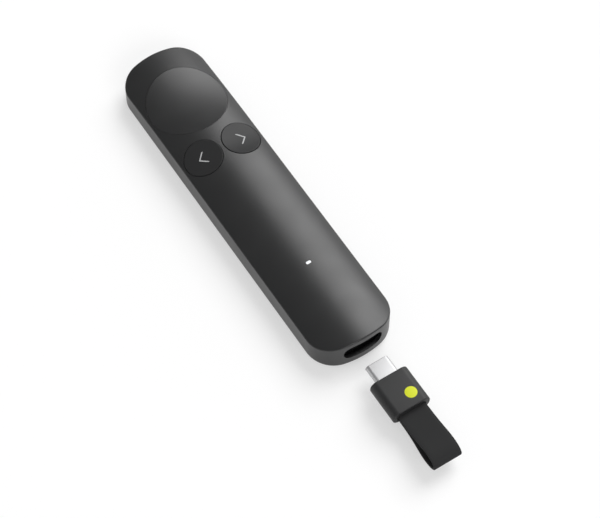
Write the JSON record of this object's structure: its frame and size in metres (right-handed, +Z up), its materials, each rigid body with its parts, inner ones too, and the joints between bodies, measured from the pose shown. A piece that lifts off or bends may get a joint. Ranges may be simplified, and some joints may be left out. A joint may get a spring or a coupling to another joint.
{
  "type": "wireless presentation clicker",
  "caption": "Slim dark presentation remote with a large dished round key, small dished back and next keys, a status light and a USB-C receiver on a strap loop that slides into the end.",
  "frame": {"origin": "centre of the clicker's flat underside, on the surface it lies on", "axes": "+Y along the clicker to the end with the large round key, +X to its right seen from above, +Z up out of the keys' side"},
  "size_m": [0.0296, 0.1766, 0.0131],
  "materials": {
    "shell_plastic": "fine satin texture",
    "base_plastic": "fine satin texture",
    "key_plastic": "smooth satin",
    "mark_plastic": "light grey, moulded in",
    "receiver_plastic": "satin",
    "dot_plastic": "yellow-green",
    "strap_rubber": "smooth matt elastomer",
    "plated_steel": "nickel plated",
    "steel": "plain",
    "gold_contacts": "gold plated",
    "black_plastic": "moulded",
    "plunger_plastic": "moulded",
    "board": "solder mask on glass-filled board",
    "chip": "moulded epoxy",
    "antenna_ceramic": "fired",
    "battery_foil": "laminated pouch foil",
    "foam_pad": "double-sided adhesive foam",
    "red_wire": "wire insulation",
    "black_wire": "wire insulation",
    "led_body": "clear lens",
    "light_pipe": "milky clear"
  },
  "bodies": {
    "case": {"shell": "shell_plastic", "base_plate": "base_plastic", "case_screws": "steel", "dock_sleeve": "black_plastic", "socket_shell": "plated_steel", "socket_tongue": "black_plastic", "main_board": "board", "battery": "battery_foil", "battery_pad": "foam_pad", "red_lead": "red_wire", "black_lead": "black_wire", "radio_chip": "chip", "radio_can": "plated_steel", "power_chip": "chip", "motion_sensor": "chip", "chip_antenna": "antenna_ceramic", "vibration_motor": "steel", "status_led": "led_body", "light_pipe": "light_pipe", "main_switch": "black_plastic", "back_switch": "black_plastic", "next_switch": "black_plastic"},
    "main_button": {"main_key": "key_plastic", "main_plunger": "plunger_plastic"},
    "back_button": {"back_key": "key_plastic", "back_arrow": "mark_plastic", "back_plunger": "plunger_plastic"},
    "next_button": {"next_key": "key_plastic", "next_arrow": "mark_plastic", "next_plunger": "plunger_plastic"},
    "receiver": {"receiver_housing": "receiver_plastic", "receiver_nose": "receiver_plastic", "plug_shell": "plated_steel", "plug_insulator": "black_plastic", "plug_contacts": "gold_contacts", "receiver_board": "board", "receiver_chip": "chip", "receiver_dot": "dot_plastic", "strap_pin": "steel", "strap_loop": "strap_rubber"}
  },
  "joints": [
    {"name": "main_press", "type": "slide", "parent": "case", "child": "main_button", "axis": [0, 0, -1], "range_m": [0, 0.0005], "stiffness_N_per_m": 1500, "springref_m": -0.0001},
    {"name": "back_press", "type": "slide", "parent": "case", "child": "back_button", "axis": [0, 0, -1], "range_m": [0, 0.0004], "stiffness_N_per_m": 1500, "springref_m": -0.0001},
    {"name": "next_press", "type": "slide", "parent": "case", "child": "next_button", "axis": [0, 0, -1], "range_m": [0, 0.0004], "stiffness_N_per_m": 1500, "springref_m": -0.0001},
    {"name": "receiver_dock", "type": "slide", "parent": "case", "child": "receiver", "axis": [0, 1, 0], "range_m": [0, 0.02665]}
  ]
}
